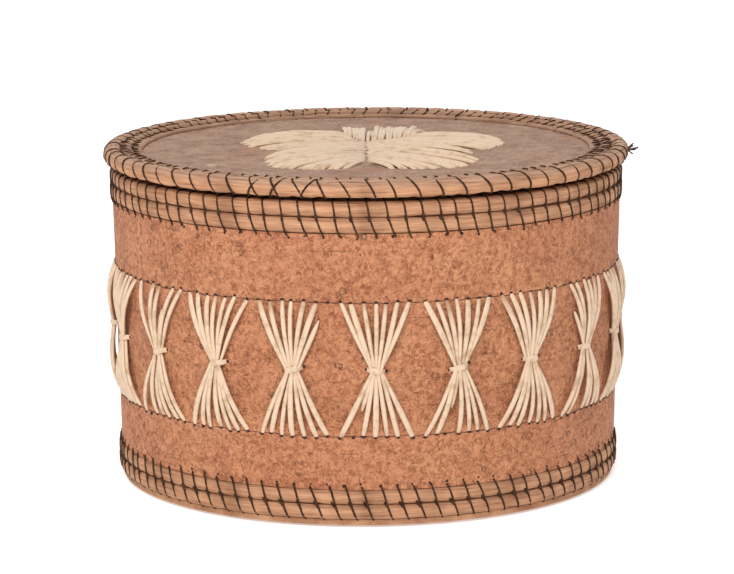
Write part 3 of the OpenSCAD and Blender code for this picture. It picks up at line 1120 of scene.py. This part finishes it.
def makeFanQuills(angle, line, side, lean):  # from a line of holes to the waist; side is -1 below the waist
    middle = (fan["quills"] - 1) / 2
    layers = list(range(fan["quills"]))
    dice.shuffle(layers)
    quills = []
    for index, layer in enumerate(layers):
        k = index - middle
        chance = dice.random()
        hole = k * fan["holePitch"] + dice.uniform(-0.5, 0.5) * mm
        edge = line + dice.uniform(-0.35, 0.35) * mm
        shadeWide = dice.uniform(0.55, 0.85) * mm
        shadeTall = dice.uniform(0.3, 0.55) * mm
        # painted shade for this quill's hole
        makeHoleShade(angle, hole, edge + side * fan["markOut"], shadeWide, shadeTall)
        if chance < fan["missing"] and abs(k) < middle:
            continue
        waist = lean + k * fan["waistPitch"] + dice.uniform(-0.25, 0.25) * mm
        start = onWall(angle, hole * 1.03, edge + side * fan["startOut"], 0.5 * mm)
        level = fan["waist"] + side * dice.uniform(-0.6, 0.2) * mm
        end = onWall(angle, waist, level, fan["lift"] + layer * fan["layer"])
        kind = fanQuill
        if chance > 1 - fan["broken"]:
            kind = stubQuill
            start = start.lerp(end, dice.uniform(0.15, 0.5))
        brown = brownness(side)
        wide = fan["wide"] * dice.uniform(0.88, 1.12)
        reach = dice.uniform(0.1, 0.4)
        up = outwards(angle, hole / 2)
        quills.append(placeQuill(kind, start, end, up, wide, fan["thick"], brown, reach))
    return quills


for fanNumber in range(fan["count"]):
    angle = fan["turn"] + fanNumber * 360 / fan["count"]
    lean = dice.uniform(-0.35, 0.35) * mm
    upperQuills = makeFanQuills(angle, holeLines[1], 1, lean)
    lowerQuills = makeFanQuills(angle, holeLines[0], -1, lean)
    fanPiece = joinAs("fan_%02d" % (fanNumber + 1), upperQuills + lowerQuills)
    finishPiece(fanPiece, "box", quill, ["quill_fan_%02d" % (fanNumber + 1)])

band = {"left": -2.5 * mm, "lift": 1.35 * mm, "wide": 1.65 * mm, "thick": 0.95 * mm}


def makeBand(angle):  # the quill that ties a fan at its waist
    tilt = dice.uniform(-0.3, 0.8) * mm
    right = dice.uniform(2.7, 3.4) * mm
    start = onWall(angle, band["left"], fan["waist"] - tilt, band["lift"])
    end = onWall(angle, right, fan["waist"] + tilt, band["lift"])
    brown = dice.uniform(0, 0.12)
    # painted shade for the holes at the band's two ends
    makeHoleShade(angle, right + 0.2 * mm, fan["waist"] + tilt, 0.6 * mm, 0.5 * mm)
    makeHoleShade(angle, band["left"] - 0.2 * mm, fan["waist"] - tilt, 0.45 * mm, 0.45 * mm)
    return placeQuill(bandQuill, start, end, outwards(angle), band["wide"], band["thick"], brown, 1.0)


bands = [makeBand(fan["turn"] + fanNumber * 360 / fan["count"]) for fanNumber in range(fan["count"])]
finishPiece(joinAs("waist_quills", bands), "box", quill, ["waist_bands"])
# the painted hole shades of all the fans and bands
finishPiece(joinAs("quill_hole_shade", quillHoleShades), "box", holeShade, smooth=80)
print("fans made")


flower = {"level": lidHigh.z + 0.25 * mm, "wide": 1.75 * mm, "thick": 1.25 * mm}
# each petal's quills run between two curves, given by three points each in mm from the lid's middle
petals = {
    "petal_front_right": {
        "inner": ((0.5, 11), (0.5, -9), (0.5, -29)),
        "outer": ((30, -6), (42, -49), (8, -42)),
        "quills": 30,
    },
    "petal_front_left": {
        "inner": ((-0.5, 11), (-0.5, -9), (-0.5, -29)),
        "outer": ((-27, -8), (-38, -48), (-7, -42)),
        "quills": 30,
    },
    "petal_left": {
        "inner": ((-5, 29), (-5, 20), (-1.5, 12)),
        "outer": ((-23, 30), (-50, 17), (-29, -5)),
        "quills": 26,
    },
    "petal_right": {
        "inner": ((15, 25), (8, 17), (2.5, 11)),
        "outer": ((31, 26), (52, 12), (33, -9)),
        "quills": 26,
    },
    "petal_back_left": {
        "inner": ((-0.9, 13), (-3.0, 20), (-5.5, 26)),
        "outer": ((-0.9, 36), (-3, 45), (-6.8, 37)),
        "quills": 6,
    },
    "petal_back_right": {
        "inner": ((1.0, 14), (8, 18), (14.5, 25)),
        "outer": ((1.2, 36), (9, 56), (18, 34)),
        "quills": 14,
    },
}


def curvePoint(points, share):
    first, middle, last = (Vector((x * mm, y * mm, 0)) for x, y in points)
    return first.lerp(middle, share).lerp(middle.lerp(last, share), share)


def makePetal(node, facts):
    quills = []
    for index in range(facts["quills"]):
        share = index / (facts["quills"] - 1)
        inner = curvePoint(facts["inner"], share)
        outer = curvePoint(facts["outer"], share)
        inner += Vector((dice.uniform(-0.5, 0.5), dice.uniform(-0.2, 0.2), dice.uniform(0, 0.4))) * mm
        inner.z += flower["level"]
        steep = (outer - inner).normalized()   # outer is still at floor level here, so this points well down
        outer.z = flower["level"] + dice.uniform(0, 0.25) * mm
        outer += steep * dice.uniform(-0.8, 0.8) * mm   # the ends differ in height and a little in length
        wide = flower["wide"] * dice.uniform(0.92, 1.08)
        brown = dice.uniform(0, 0.12)
        up = Vector((0, 0, 1))
        quills.append(placeQuill(petalQuill, inner, outer, up, wide, flower["thick"], brown, 1.0))
    finishPiece(joinAs(node.replace("petal", "flower"), quills), "lid", quill, [node])


for petalNode, petalFacts in petals.items():
    makePetal(petalNode, petalFacts)
print("flower made")

paintNode("wall_seam_thread", thread)

for leftover in (quillBlank, fanQuill, stubQuill, bandQuill, petalQuill, holeShadeBlank):
    bpy.data.objects.remove(leftover)
